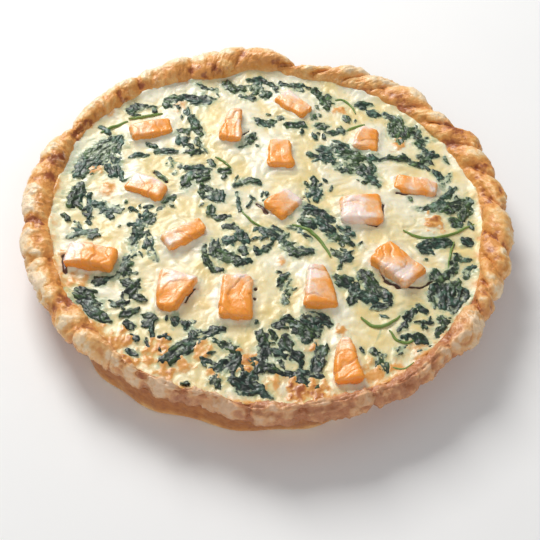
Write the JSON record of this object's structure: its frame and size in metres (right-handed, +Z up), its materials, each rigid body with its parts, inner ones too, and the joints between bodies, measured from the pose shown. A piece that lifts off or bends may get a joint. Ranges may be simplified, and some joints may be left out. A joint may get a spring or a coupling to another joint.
{
  "type": "salmon and spinach quiche",
  "caption": "Whole open salmon and spinach quiche, 28 cm across, with a hand-crimped pastry edge, salmon chunks and wilted spinach in set custard.",
  "frame": {"origin": "middle of the flat underside of the pastry case", "axes": "+Z up out of the filling, +Y towards the back of the pie as it was pictured, +X to its right"},
  "size_m": [0.2815, 0.2774, 0.0351],
  "materials": {
    "pastry": "dry baked pastry, golden brown with darker ridges",
    "custard": "set egg custard, satin, browned in spots",
    "salmon": "cooked salmon, moist, orange with pale flakes",
    "spinach": "wilted spinach leaf, wet and dark green"
  },
  "bodies": {
    "root": {"crust": "pastry", "custard": "custard", "salmon_01": "salmon", "salmon_02": "salmon", "salmon_03": "salmon", "salmon_04": "salmon", "salmon_05": "salmon", "salmon_06": "salmon", "salmon_07": "salmon", "salmon_08": "salmon", "salmon_09": "salmon", "salmon_10": "salmon", "salmon_11": "salmon", "salmon_12": "salmon", "salmon_13": "salmon", "salmon_14": "salmon", "salmon_15": "salmon", "salmon_16": "salmon", "leaf_01": "spinach", "leaf_02": "spinach", "leaf_03": "spinach", "leaf_04": "spinach", "leaf_05": "spinach", "leaf_06": "spinach", "leaf_07": "spinach", "leaf_08": "spinach", "leaf_09": "spinach", "leaf_10": "spinach", "leaf_11": "spinach", "leaf_12": "spinach", "leaf_13": "spinach", "leaf_14": "spinach", "leaf_15": "spinach", "leaf_16": "spinach", "leaf_17": "spinach", "leaf_18": "spinach", "leaf_19": "spinach", "leaf_20": "spinach", "leaf_21": "spinach", "leaf_22": "spinach", "leaf_23": "spinach", "leaf_24": "spinach", "leaf_25": "spinach", "leaf_26": "spinach", "leaf_27": "spinach", "leaf_28": "spinach", "leaf_29": "spinach", "leaf_30": "spinach", "leaf_31": "spinach", "leaf_32": "spinach", "leaf_33": "spinach", "leaf_34": "spinach", "leaf_35": "spinach", "leaf_36": "spinach", "leaf_37": "spinach", "leaf_38": "spinach", "leaf_39": "spinach", "leaf_40": "spinach"}
  },
  "joints": []
}
